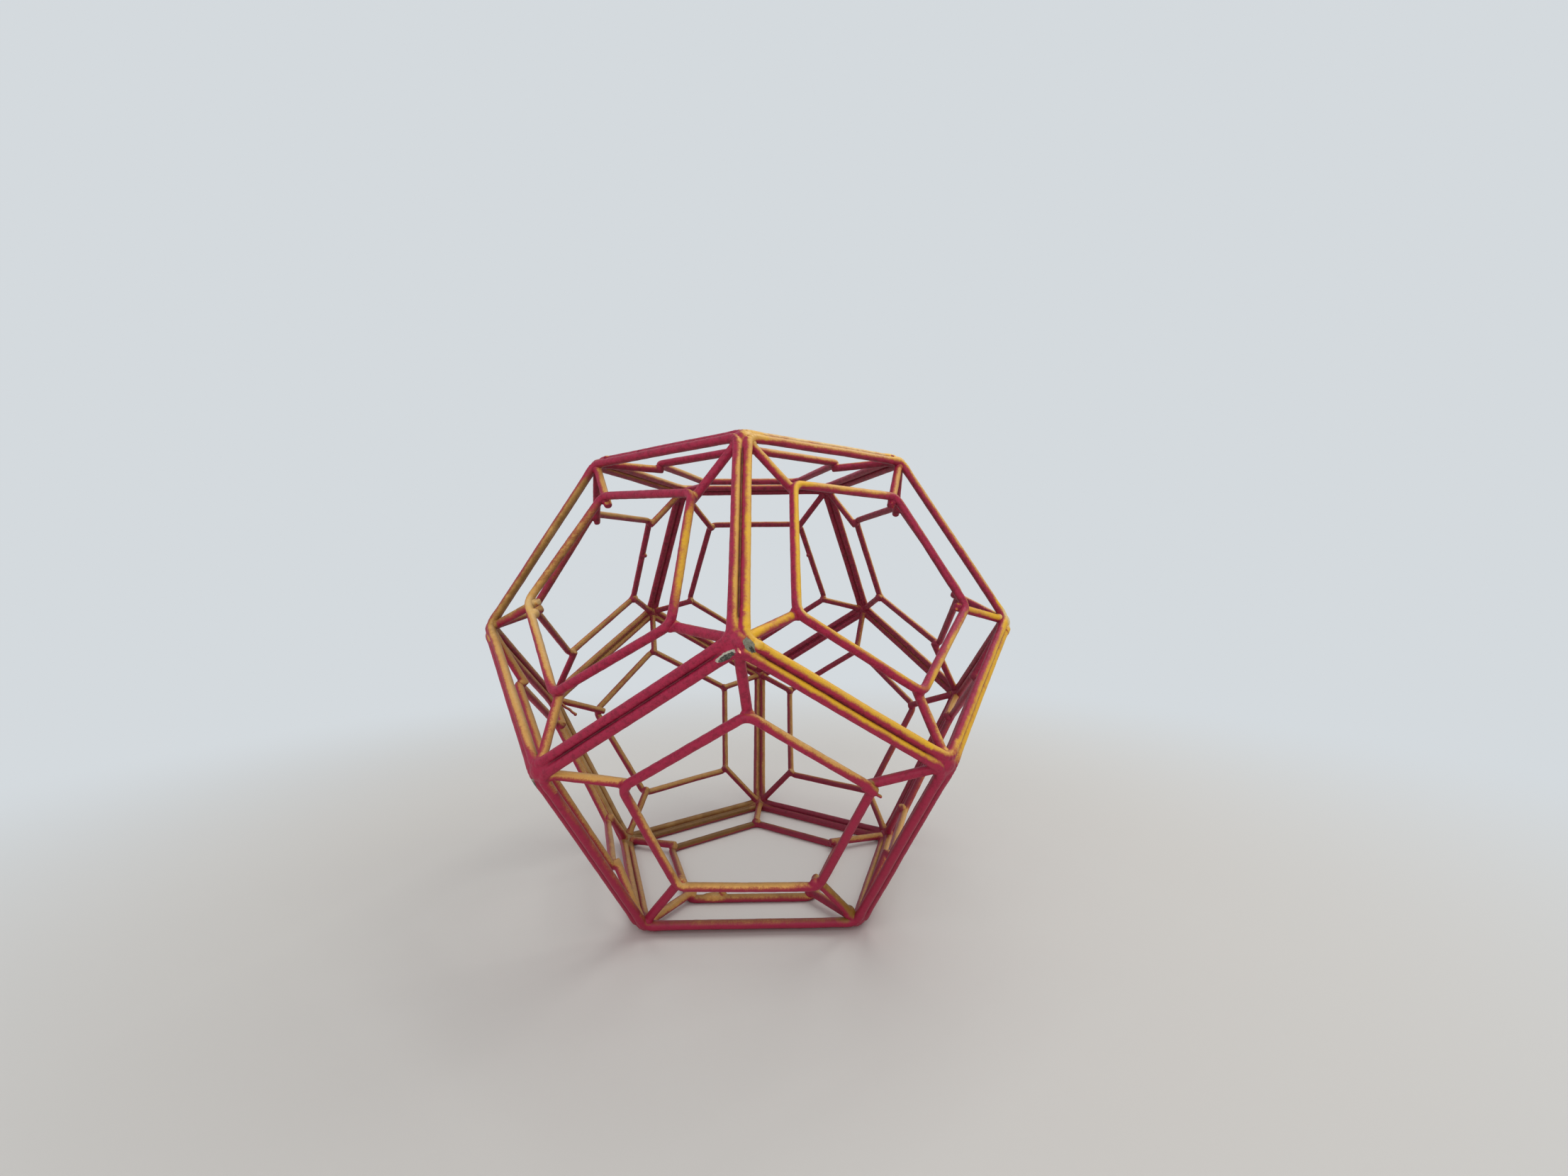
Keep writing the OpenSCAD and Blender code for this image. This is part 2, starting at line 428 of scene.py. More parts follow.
# Panel, kind of wire, the corners at its ends, and then more gold, tone and lean
TOUCHES = (
    Touch("top", RIM, "T4 T0", -0.5),
    Touch("top", RIM, "T0 T1", -0.2, 1.6),
    Touch(UR, RIM, "T0 T1", -0.05),
    Touch("top", LOOP, "T4 T0", -0.4),
    Touch(UL, RIM, "T4 T0", -0.5),
    Touch(UL, RIM, "T4 U4", 0.42, -0.35, (0.2, 0.0, -0.2)),
    Touch(ULB, RIM, "T4 U4", 0.2, -0.35),
    Touch(UL, RIM, "U4 M0", 0.3, 0.0, (-0.3, 0.0, 0.0)),
    Touch(UL, RIM, "T0 U0", -0.08, 0.3, (0.25, 0.0, 0.0)),
    Touch(UR, RIM, "T0 U0", -0.03, 0.5),
    Touch(UL, RIM, "U0 M0", -0.6),
    Touch(LF, RIM, "U0 M0", -0.5),
    Touch(UR, RIM, "U0 M1", 0.2, 0.6),
    Touch(LF, RIM, "U0 M1", -0.02, 0.7),
    Touch(UR, RIM, "T1 U1", 0.05),
    Touch(URB, RIM, "T1 U1", 0.1, 0.6),
    Touch(UR, RIM, "U1 M1", -0.28, 0.9, (0.4, 0.0, -0.4)),
    Touch(LR, RIM, "U1 M1", -0.12, 0.9, (0.3, 0.0, -0.2)),
    Touch(LF, RIM, "M0 B0", -0.15, -0.1, (-0.2, 0.0, -0.2)),
    Touch(LL, RIM, "M0 B0", -0.2, -0.4),
    Touch(LF, RIM, "M1 B1", -0.35),
    Touch(LR, RIM, "M1 B1", -0.3),
    Touch(LF, RIM, "B0 B1", -0.2, -0.4),
    Touch("bottom", RIM, "B0 B1", -0.3, -0.5),
    Touch("bottom", LOOP, "B0 B1", 0.1, -0.3),
    Touch(UL, LOOP, "T4 T0", -0.5),
    Touch(UL, LOOP, "T4 U4", 0.38, -0.25),
    Touch(UL, LOOP, "U4 M0", 0.23),
    Touch(UL, LOOP, "M0 U0", -0.6),
    Touch(UL, LOOP, "U0 T0", 0.08, 0.6, (-0.2, 0.0, 0.0)),
    Touch(UR, LOOP, "T0 T1", 0.0, 0.3),
    Touch(UR, LOOP, "T1 U1", -0.4),
    Touch(UR, LOOP, "U1 M1", -0.3, 0.3, (0.6, 0.0, -0.4)),
    Touch(UR, LOOP, "M1 U0", -0.27, 0.6),
    Touch(UR, LOOP, "U0 T0", -0.15, 0.8, (0.4, 0.0, 0.0)),
    Touch(LF, LOOP, "M0 U0", -0.4),
    Touch(LF, LOOP, "U0 M1", 0.08, -0.1),
    Touch(LF, LOOP, "M1 B1", -0.5),
    Touch(LF, LOOP, "B1 B0", 0.2, -0.1),
    Touch(LF, LOOP, "B0 M0", 0.02, -0.1),
    Touch(LF, SPOKES, "M0", 0.22, 0.15),
    Touch(LF, SPOKES, "U0", -0.4),
    Touch(LF, SPOKES, "M1", -0.25, -0.5),
    Touch(LF, SPOKES, "B0", -0.3),
    Touch(LF, SPOKES, "B1", 0.05, -0.6),
    Touch(UL, SPOKES, "U0", -0.35),
    Touch(UL, SPOKES, "T0", -0.2),
    Touch(UL, SPOKES, "U4", 0.5, -0.4),
    Touch(UR, SPOKES, "U0", -0.15, 0.7),
    Touch(UR, SPOKES, "M1", -0.15, 0.2),
    Touch(UR, SPOKES, "T0", 0.1, 0.3),
    Touch(UR, SPOKES, "U1", -0.05, 0.6, (0.0, -0.25, -0.25)),
    Touch(LBL, RIM, "B4 B3", 0.1, -0.4),
    Touch("bottom", RIM, "B4 B3", 0.1, -0.7),
    Touch("bottom", LOOP, "B4 B3", 0.1, -0.6),
    Touch("bottom", RIM, "B3 B2", -0.35),
    Touch(LBR, RIM, "B3 B2", -0.35),
    Touch("bottom", LOOP, "B3 B2", -0.15, -0.3),
    Touch(LL, RIM, "M4 B4", 0.3, -0.2),
    Touch(LBL, RIM, "M4 B4", 0.3, -0.2),
)
# Middle, reach, and then more gold, tone and lean
SPOTS = (
    Spot((3.0, -62.0, 168.4), 5.0, 0.1, 0.0, (0.9, 0.0, 0.2)),
    Spot((-14.0, -32.6, 3.0), 4.0, 0.35, 0.1),
    Spot((-76.0, -42.0, 111.0), 5.5, 0.45, 0.5),
    Spot((-4.8, -101.6, 98.0), 1.2, 0.6),
    Spot((5.4, -101.8, 103.4), 2.4, 0.45, 0.4),
    Spot((3.6, -101.0, 108.0), 3.2, 0.35, 0.2),
    Spot((8.5, -99.0, 101.5), 4.0, 0.2),
    Spot((2.6, -102.0, 105.0), 2.0, 0.1, -0.2),
    Spot((-2.5, -102.0, 106.0), 4.5, -0.3),
    Spot((60.0, -83.0, 64.0), 5.0, -0.4),
    Spot((-54.6, -23.0, 169.8), 1.4, 0.8),
    Spot((-55.6, -76.6, 69.5), 0.7, 0.9),
    Spot((22.5, -61.0, 21.5), 3.5, 0.45, 0.4),
    Spot((33.7, -52.4, 6.6), 3.5, 0.45, -0.9),
    Spot((39.0, -80.2, 57.3), 3.0, 0.5, -0.3),
    Spot((98.5, -31.0, 107.0), 5.5, 0.15, 2.0, (0.3, 0.0, 0.0)),
)


class Bench:
    """The modelling tools, used as by hand."""

    @staticmethod
    def clear() -> None:
        """Deselects every object."""
        bpy.ops.object.select_all(action="DESELECT")

    @staticmethod
    def take(*pieces: bpy.types.Object) -> None:
        """Selects these pieces alone, the first one active.

        Args:
            *pieces: The pieces.
        """
        Bench.clear()
        for piece in pieces:
            piece.select_set(True)
        bpy.context.view_layer.objects.active = pieces[0]

    @staticmethod
    def made(name: str) -> bpy.types.Object:
        """Names the piece that an operator has just added, and puts its place into its mesh.

        Args:
            name: Name for the piece and its mesh.

        Returns:
            The piece, out of edit mode.
        """
        piece = bpy.context.active_object
        if piece.mode == "EDIT":
            bpy.ops.object.mode_set(mode="OBJECT")
        piece.name = piece.data.name = name
        Bench.set_down(piece, Matrix.Identity(4))
        return piece

    @staticmethod
    def copy(piece: bpy.types.Object, name: str) -> bpy.types.Object:
        """Copies a piece with its own mesh.

        Args:
            piece: The piece.
            name: Name for the copy.

        Returns:
            The copy.
        """
        Bench.take(piece)
        bpy.ops.object.duplicate(linked=False)
        return Bench.made(name)

    @staticmethod
    def join(pieces: list[bpy.types.Object]) -> bpy.types.Object:
        """Joins pieces into the first one.

        Args:
            pieces: The pieces.

        Returns:
            The first piece.
        """
        Bench.take(*pieces)
        bpy.ops.object.join()
        return pieces[0]

    @staticmethod
    def set_down(piece: bpy.types.Object, place: Matrix) -> None:
        """Moves a piece to its place and puts that place into its mesh.

        Args:
            piece: The piece.
            place: Its place.
        """
        piece.matrix_world = place @ piece.matrix_world
        Bench.take(piece)
        bpy.ops.object.transform_apply(location=True, rotation=True, scale=True)

    @staticmethod
    def apply(piece: bpy.types.Object, kind: str, **settings: object) -> None:
        """Adds one modifier and applies it.

        Args:
            piece: The piece that gets it.
            kind: Type of modifier.
            **settings: Its settings.
        """
        Bench.take(piece)
        modifier = piece.modifiers.new(kind.lower(), kind)
        for key, value in settings.items():
            setattr(modifier, key, value)
        bpy.ops.object.modifier_apply(modifier=modifier.name)

    @staticmethod
    def close(piece: bpy.types.Object) -> None:
        """Merges doubles and turns all faces outwards.

        Args:
            piece: The piece.
        """
        Bench.take(piece)
        bpy.ops.object.mode_set(mode="EDIT")
        bpy.ops.mesh.select_all(action="SELECT")
        bpy.ops.mesh.remove_doubles(threshold=MERGE_REACH)
        bpy.ops.mesh.normals_make_consistent(inside=False)
        bpy.ops.object.mode_set(mode="OBJECT")

    @staticmethod
    def ball(middle: Vector | Triple, reach: Vector | Triple, sides: int = BALL_SIDES,
             rings: int = BALL_RINGS) -> None:
        """Adds a ball or an egg with these half sizes, to the mesh in edit mode if there is one."""
        bpy.ops.mesh.primitive_uv_sphere_add(
            segments=sides, ring_count=rings, radius=1, scale=reach, location=middle)

    @staticmethod
    def cone(place: Matrix, radii: Pair, length: float, sides: int) -> None:
        """Adds a blunt cone to the mesh in edit mode, along the +Z of the place of its middle."""
        bpy.ops.mesh.primitive_cone_add(
            vertices=sides, radius1=radii[0], radius2=radii[1], depth=length,
            location=place.to_translation(), rotation=place.to_euler())

    @staticmethod
    def wire_end(at: Vector | Triple, radius: float, sides: int, turn: Triple = (0, 0, 0),
                 fill: str = "NGON") -> None:
        """Draws the end of a wire as a mesh of its own, ready to be pulled out in edit mode."""
        Bench.clear()
        bpy.ops.mesh.primitive_circle_add(vertices=sides, radius=radius, fill_type=fill, location=at,
                                          rotation=turn, enter_editmode=True)

    @staticmethod
    def pull(way: Vector, steps: int) -> None:
        """Pulls what is selected in edit mode out by a way, in equal steps."""
        for _ in range(steps):
            bpy.ops.mesh.extrude_region_move(TRANSFORM_OT_translate={"value": way / steps})

    @staticmethod
    def pick(piece: bpy.types.Object, wanted: np.ndarray) -> None:
        """Selects some points of a mesh, and the edges and faces between them.

        Args:
            piece: The piece.
            wanted: For each of its points, whether it is selected.
        """
        piece.data.vertices.foreach_set("select", wanted)
        ends = np.empty(len(piece.data.edges) * 2, np.int32)
        piece.data.edges.foreach_get("vertices", ends)
        piece.data.edges.foreach_set("select", wanted[ends].reshape(-1, 2).all(axis=1))
        for face in piece.data.polygons:
            face.select = all(wanted[v] for v in face.vertices)

    @staticmethod
    def shift(piece: bpy.types.Object, wanted: np.ndarray, along: float) -> None:
        """Moves some points of a mesh along +X.

        Args:
            piece: The piece.
            wanted: For each of its points, whether it moves.
            along: Length of the move.
        """
        Bench.pick(piece, wanted)
        bpy.ops.object.mode_set(mode="EDIT")
        bpy.ops.transform.translate(value=(along, 0, 0))
        bpy.ops.object.mode_set(mode="OBJECT")

    @staticmethod
    def rows(layer: bpy.types.bpy_prop_collection, name: str) -> np.ndarray:
        """Reads a place or direction of all of a mesh's points.

        Args:
            layer: The points.
            name: What is read, such as co or normal.

        Returns:
            One row for each point.
        """
        flat = np.empty(len(layer) * 3, np.float32)
        layer.foreach_get(name, flat)
        return flat.reshape(-1, 3)

    @staticmethod
    def points(piece: bpy.types.Object) -> np.ndarray:
        """Places of a mesh's points, one row each."""
        return Bench.rows(piece.data.vertices, "co")


@dataclass(frozen=True)
class HandWork:
    """What bending, welding and painting by hand did to straight, round wire."""

    wander: float = 0.35 * MM
    wander_length: float = 34 * MM
    lump: float = 0.11 * MM
    lump_length: float = 2.6 * MM
    fine_lump: float = 0.045 * MM
    fine_length: float = 0.9 * MM
    grain: float = 0.3 * MM
    ease: float = 0.5
    ease_passes: int = 4

    @staticmethod
    def _clouds(name: str, length: float, kind: str) -> bpy.types.Texture:
        """Finds or makes a cloud texture.

        Args:
            name: Its name.
            length: Length of its lumps.
            kind: Type of cloud, COLOR or GRAYSCALE.

        Returns:
            The texture.
        """
        clouds = bpy.data.textures.get(name) or bpy.data.textures.new(name, "CLOUDS")
        clouds.noise_scale = length
        clouds.noise_depth = 1
        clouds.cloud_type = kind
        return clouds

    def knock(self, piece: bpy.types.Object) -> None:
        """Lets a piece wander a little off its line and gives its paint soft lumps.

        Args:
            piece: The piece.
        """
        knocks = (
            ("wander", self.wander_length, "COLOR", "RGB_TO_XYZ", self.wander),
            ("lumps", self.lump_length, "GRAYSCALE", "NORMAL", self.lump),
            ("fine", self.fine_length, "GRAYSCALE", "NORMAL", self.fine_lump),
        )
        for name, length, kind, direction, strength in knocks:
            Bench.apply(piece, "DISPLACE", texture=self._clouds(name, length, kind),
                        texture_coords="LOCAL", direction=direction, strength=strength, mid_level=0.5)

    def fuse(self, piece: bpy.types.Object, grain: float | None = None) -> None:
        """Melts overlapping shapes into one skin, with faces of this grain or the usual one."""
        Bench.apply(piece, "REMESH", mode="VOXEL", voxel_size=grain or self.grain, adaptivity=0)
        Bench.apply(piece, "SMOOTH", factor=self.ease, iterations=self.ease_passes)


@dataclass(frozen=True)
class Drop:
    """A lump of weld metal or thick paint on a piece, in millimetres."""

    piece: str
    middle: Triple
    reach: Triple

    def add_to(self, piece: bpy.types.Object) -> None:
        """Joins the drop to its piece.

        Args:
            piece: The piece.
        """
        Bench.clear()
        Bench.ball(Vector(self.middle) * MM, Vector(self.reach) * MM)
        drop = Bench.made("drop")
        Bench.apply(drop, "SUBSURF", levels=1, render_levels=1)
        Bench.join([piece, drop])


@dataclass(frozen=True)
class Stub:
    """A blunt wire end that stands out of a piece, in millimetres."""

    piece: str
    root: Triple
    tip: Triple
    radius: float
    rounding: float = 0.4
    sides: int = 24

    def add_to(self, piece: bpy.types.Object) -> None:
        """Joins the stub to its piece.

        Args:
            piece: The piece.
        """
        root, tip = Vector(self.root) * MM, Vector(self.tip) * MM
        Bench.clear()
        bpy.ops.mesh.primitive_cylinder_add(
            vertices=self.sides, radius=self.radius * MM, depth=(tip - root).length,
            end_fill_type="NGON", location=(root + tip) / 2,
            rotation=(tip - root).to_track_quat("Z", "Y").to_euler())
        stub = Bench.made("stub")
        Bench.apply(stub, "BEVEL", width=self.rounding * self.radius * MM, segments=BEVEL_STEPS,
                    limit_method="ANGLE")
        Bench.join([piece, stub])


LUMPS = (
    Drop("bottom_loop", (-14.6, -31.9, 2.1), (5.0, 1.5, 1.6)),
    Drop("bottom_loop", (-11.2, -31.9, 3.3), (1.4, 1.1, 1.4)),
    Drop("lower_front_spoke_set", (33.7, -52.4, 6.6), (2.3, 2.0, 2.3)),
    Drop("lower_front_loop", (22.3, -61.2, 21.3), (2.4, 1.3, 1.6)),
    Drop("upper_left_loop", (-55.2, 45.7, 134.5), (1.0, 1.0, 1.1)),
    Drop("upper_back_loop", (27.8, 67.2, 134.8), (1.0, 1.0, 1.1)),
    Drop("top_rim", (-39.0, -33.9, 169.0), (1.9, 1.3, 0.75)),
    Drop("top_rim", (56.3, -21.9, 169.0), (1.1, 0.9, 0.75)),
    Drop("top_rim", (-54.6, -22.6, 169.3), (1.6, 1.2, 0.8)),
    Drop("upper_front_right_rim", (5.0, -101.6, 103.5), (1.9, 1.4, 1.5)),
    Drop("upper_front_left_loop", (-75.2, -44.2, 110.0), (1.9, 1.7, 1.9)),
    Stub("lower_right_rim", (96.45, -32.6, 101.9), (94.9, -34.7, 100.3), 1.82, 0.1),
    Stub("lower_front_loop", (35.0, -80.4, 59.6), (39.4, -80.2, 57.1), 1.52),
    Stub("lower_front_loop", (38.6, -80.2, 57.0), (40.9, -79.8, 55.5), 0.55, 0.6),
)


def add_lumps(piece: bpy.types.Object, name: str) -> bool:
    """Joins a piece's own lumps and stubs to it.

    Args:
        piece: The piece.
        name: The name that it will have.

    Returns:
        Whether it has any.
    """
    lumps = [lump for lump in LUMPS if lump.piece == name]
    for lump in lumps:
        lump.add_to(piece)
    return bool(lumps)


class Sock:
    """A node's output, with arithmetic that adds Math nodes."""

    def __init__(self, tree: "NodeTree", out: bpy.types.NodeSocket | None) -> None:
        """Keeps the tree and the output."""
        self.tree = tree
        self.out = out

    def _math(self, operation: str, first: object, second: object) -> "Sock":
        """Adds one Math node."""
        return self.tree.add("ShaderNodeMath", {"operation": operation}, {0: first, 1: second})

    def __add__(self, other: object) -> "Sock":
        """This plus other."""
        return self._math("ADD", self, other)

    def __radd__(self, other: object) -> "Sock":
        """Other plus this."""
        return self._math("ADD", other, self)

    def __sub__(self, other: object) -> "Sock":
        """This less other."""
        return self._math("SUBTRACT", self, other)

    def __rsub__(self, other: object) -> "Sock":
        """Other less this."""
        return self._math("SUBTRACT", other, self)

    def __mul__(self, other: object) -> "Sock":
        """This times other."""
        return self._math("MULTIPLY", self, other)

    def __rmul__(self, other: object) -> "Sock":
        """Other times this."""
        return self._math("MULTIPLY", other, self)

    def __truediv__(self, other: object) -> "Sock":
        """This over other."""
        return self._math("DIVIDE", self, other)

    def __rtruediv__(self, other: object) -> "Sock":
        """Other over this."""
        return self._math("DIVIDE", other, self)

    def most(self, other: object) -> "Sock":
        """The greater of the two."""
        return self._math("MAXIMUM", self, other)

    def swing(self, width: float) -> "Sock":
        """Noise from 0 to 1 as a swing of this width, half of it to either side of 0."""
        return (self - 0.5) * width

    def step(self, low: float, high: float) -> "Sock":
        """Rises smoothly from 0 at low to 1 at high."""
        return self.tree.add("ShaderNodeMapRange", {"interpolation_type": "SMOOTHSTEP"},
                             {"Value": self, "From Min": low, "From Max": high})


class NodeTree:
    """The nodes of one material, or of the world."""

    def __init__(self, owner: bpy.types.Material | bpy.types.World) -> None:
        """Starts with no nodes.

        Args:
            owner: The material or the world.
        """
        owner.use_nodes = True
        self.owner = owner
        self.nodes = owner.node_tree.nodes
        self.links = owner.node_tree.links
        self.nodes.clear()

    def add(self, kind: str, settings: dict[str, object], sockets: dict[int | str, object],
            out: int | str = 0) -> Sock:
        """Adds a node.

        Args:
            kind: Type of node.
            settings: Its settings, which are set first.
            sockets: Its inputs, as values or as outputs of other nodes.
            out: The output that is wanted.

        Returns:
            That output.
        """
        node = self.nodes.new(kind)
        for key, value in settings.items():
            if key == "stops":
                self._set_stops(node.color_ramp, value)
            else:
                setattr(node, key, value)
        for key, value in sockets.items():
            socket = node.inputs[key]
            if isinstance(value, Sock):
                self.links.new(value.out, socket)
            else:
                socket.default_value = (*value, 1) if socket.type == "RGBA" else value
        return Sock(self, node.outputs[out] if node.outputs else None)

    @staticmethod
    def _set_stops(ramp: bpy.types.ColorRamp, stops: tuple[tuple[float, Triple], ...]) -> None:
        """Gives a colour ramp its stops.

        Args:
            ramp: The ramp.
            stops: Place and colour of each stop.
        """
        while len(ramp.elements) > 1:
            ramp.elements.remove(ramp.elements[-1])
        ramp.elements[0].position, ramp.elements[0].color = stops[0][0], (*stops[0][1], 1)
        for at, colour in stops[1:]:
            ramp.elements.new(at).color = (*colour, 1)

    def place(self) -> Sock:
        """Place on the object."""
        return self.add("ShaderNodeTexCoord", {}, {}, out="Object")

    def height(self) -> Sock:
        """Height over the floor."""
        return self.add("ShaderNodeSeparateXYZ", {}, {0: self.place()}, out="Z")

    def coat(self, name: str) -> Sock:
        """One of the amounts of paint that the piece's points carry."""
        return self.add("ShaderNodeAttribute", {"attribute_name": name}, {}, out="Fac")

    def ray(self, kind: str) -> Sock:
        """Whether the light that arrives is of this kind."""
        return self.add("ShaderNodeLightPath", {}, {}, out=f"Is {kind} Ray")

    def vector(self, operation: str, first: object, second: object = (0, 0, 0),
               out: int | str = 0) -> Sock:
        """Adds one Vector Math node."""
        return self.add("ShaderNodeVectorMath", {"operation": operation}, {0: first, 1: second}, out)

    def noise(self, length: float, detail: float, roughness: float) -> Sock:
        """Noise from 0 to 1 with lumps of about this length."""
        return self.add("ShaderNodeTexNoise", {},
                        {"Vector": self.place(), "Scale": 1 / length, "Detail": detail,
                         "Roughness": roughness})

    def blend(self, share: object, first: object, second: object) -> Sock:
        """Mixes two colours."""
        return self.add("ShaderNodeMix", {"data_type": "RGBA"}, {0: share, 6: first, 7: second}, 2)


@dataclass(frozen=True)
class Chip:
    """A place where the paint has come off: its middle, its long way, and its half sizes.

    The middle, the half sizes and the offset are in millimetres. Old paint is what shows along its
    edge, with darker stains, and the bare metal, with brighter scratches, lies off its middle.
    Pairs and noises are given as in CagePaint.
    """

    middle: Triple
    way: Triple
    half_long: float
    half_wide: float
    old_paint: Triple = (0.62, 0.59, 0.48)
    metal: Triple = (0.05, 0.05, 0.04)
    off: Triple = (0.25, 0.0, -0.3)
    metal_share: float = 0.72
    edge: float = 0.03
    metal_edge: float = 0.05
    worn: Triple = (0.5 * MM, 3.0, 0.6)
    stains: Pair = (0.35, 0.75)
    stain_share: float = 0.6
    stain_dark: float = 0.45
    scratches: Pair = (0.45, 0.7)
    scratch_bright: float = 4.0

    def _inside(self, tree: NodeTree, ragged: Sock, size: float, middle: Vector) -> Sock:
        """Works out how far inside the chip a place is.

        Args:
            tree: Nodes of the paint.
            ragged: Noise for the edge.
            size: Size of the outline, where 1 is the whole chip.
            middle: Its middle in millimetres.

        Returns:
            A share that is 0 on the ragged outline and rises inwards.
        """
        from_mid = tree.vector("SUBTRACT", tree.place(), middle * MM)
        along = tree.vector("DOT_PRODUCT", from_mid, Vector(self.way).normalized(), "Value")
        length = tree.vector("LENGTH", from_mid, out="Value")
        aside = (length * length - along * along).most(0.0)
        far = (along * along / (self.half_long * size * MM) ** 2
               + aside / (self.half_wide * size * MM) ** 2)
        return 1 - tree.add("ShaderNodeMath", {"operation": "SQRT"}, {0: far}) - ragged.swing(1.0)

    def show(self, tree: NodeTree, ragged: Sock, colour: Sock) -> tuple[Sock, Sock]:
        """Lays the chip over a colour.

        Args:
            tree: Nodes of the paint.
            ragged: Noise for the edge.
            colour: Colour of the paint.

        Returns:
            The new colour, and the share of paint that has gone.
        """
        middle = Vector(self.middle)
        gone = self._inside(tree, ragged, 1, middle).step(-self.edge, self.edge)
        bare = self._inside(tree, ragged, self.metal_share, middle + Vector(self.off)).step(
            -self.metal_edge, self.metal_edge)
        worn = tree.noise(*self.worn)
        old = tree.blend(worn.step(*self.stains) * self.stain_share, self.old_paint,
                         tuple(Vector(self.old_paint) * self.stain_dark))
        metal = tree.blend(worn.step(*self.scratches), self.metal,
                           tuple(Vector(self.metal) * self.scratch_bright))
        return tree.blend(bare, tree.blend(gone, colour, old), metal), gone


@dataclass(frozen=True)
class CagePaint:
    """Satin magenta paint with gold sprayed over it from one side, with painted shade and a painted
    highlight in its colour.

    A pair says where an effect sets in and where it is full, but low is full under its first
    height and gone over its second. A noise is given by its length, detail and roughness, and
    swings are the widths with which noises sway an amount.
    """

    magenta: Triple = (0.46, 0.018, 0.068)
    deep_magenta: Triple = (0.30, 0.011, 0.044)
    deep_mottle: Pair = (0.36, 0.72)
    # Painted shade near the floor: heights below which the magenta deepens, and how much
    low: Pair = (20 * MM, 110 * MM)
    floor_shade_share: float = 0.7
    copper: Triple = (0.56, 0.14, 0.045)
    gold: Triple = (0.80, 0.42, 0.11)
    # Painted highlight: the palest gold tops the ramp where the gold faces the spray side most
    highlight_gold: Triple = (0.88, 0.56, 0.22)
    gold_ramp: Pair = (-0.15, 0.95)
    yellow: Triple = (0.94, 0.52, 0.022)
    yellow_tones: Pair = (0.1, 0.8)
    cream: Triple = (0.90, 0.68, 0.32)
    cream_tones: Pair = (1.0, 1.8)
    brown: Triple = (0.30, 0.145, 0.022)
    brown_tones: Pair = (0.0, 0.6)
    specks: Pair = (0.58, 0.75)
    speck_share: float = 0.3
    border: Pair = (-0.34, 0.34)
    # Colour and strength of the painted shade that darkens inward faces and grooves
    dusk: Triple = (0.035, 0.010, 0.010)
    dusk_share: float = 0.8
    patches: Triple = (8 * MM, 2.0, 0.5)
    mottle: Triple = (1.6 * MM, 3.0, 0.6)
    speckle: Triple = (0.5 * MM, 2.0, 0.7)
    fall_swings: Triple = (0.5, 0.35, 0.4)
    tone_swing: float = 0.5
    deep_swing: float = 0.7
    gold_ramp_swing: float = 0.4
    peel: Triple = (0.65 * MM, 1.0, 0.5)
    peel_height: float = 0.05 * MM
    grit: Triple = (0.22 * MM, 2.0, 0.5)
    grit_height: float = 0.016 * MM
    chip_grain: Triple = (0.9 * MM, 3.0, 0.65)
    chip_depth: float = 0.08 * MM
    roughness: float = 0.45
    roughness_swing: float = 0.25
    gold_metal: float = 0.08
    ior: float = 1.45
    specular: float = 0.38

    def _magenta(self, tree: NodeTree, mottle: Sock, speckle: Sock) -> Sock:
        """Mixes the magenta, which is deeper in blotches, and darker low down as painted shade near the
        floor.

        Args:
            tree: Nodes of the paint.
            mottle: Noise of small blotches.
            speckle: Fine noise.

        Returns:
            Its colour.
        """
        # Painted shade: the magenta deepens towards the floor
        low = (1 - tree.height().step(*self.low)) * self.floor_shade_share
        deep = (mottle + speckle.swing(self.deep_swing)).step(*self.deep_mottle).most(low)
        return tree.blend(deep, self.magenta, self.deep_magenta)

    def _gold(self, tree: NodeTree, fall: Sock, tint: Sock, speckle: Sock) -> Sock:
        """Mixes the gold, which is coppery where it is thin and paler, as a painted highlight, where it
        faces the spray side most.

        Args:
            tree: Nodes of the paint.
            fall: How much gold has fallen.
            tint: Its tone.
            speckle: Fine noise.

        Returns:
            Its colour.
        """
        # The ramp runs from copper where the gold is thin to a painted highlight where it faces the
        # spray side most
        gold = tree.add("ShaderNodeValToRGB", {"stops": (
            (0.0, self.copper), (0.3, self.gold), (0.6, self.gold), (1.0, self.highlight_gold))},
            {"Fac": (fall + speckle.swing(self.gold_ramp_swing)).step(*self.gold_ramp)})
        tones = (
            (tint.step(*self.yellow_tones), self.yellow),
            (tint.step(*self.cream_tones), self.cream),
            ((0 - tint).step(*self.brown_tones), self.brown),
            (speckle.step(*self.specks) * self.speck_share, self.brown),
        )
        for share, colour in tones:
            gold = tree.blend(share, gold, colour)
        return gold

    def material(self, name: str, chips: tuple[Chip, ...] = ()) -> bpy.types.Material:
        """Makes the paint.

        Args:
            name: Name of the material.
            chips: Where paint has come off this piece.

        Returns:
            The material.
        """
        tree = NodeTree(bpy.data.materials.new(name))
        patches, mottle, speckle, peel, grit = (tree.noise(*noise) for noise in (
            self.patches, self.mottle, self.speckle, self.peel, self.grit))
        fall = tree.coat("gold_side")
        for noise, width in zip((patches, mottle, speckle), self.fall_swings):
            fall = fall + noise.swing(width)
        tint = tree.coat("gold_tone") + patches.swing(self.tone_swing) + mottle.swing(self.tone_swing)
        cover = fall.step(*self.border)
        colour = tree.blend(cover, self._magenta(tree, mottle, speckle),
                            self._gold(tree, fall, tint, speckle))
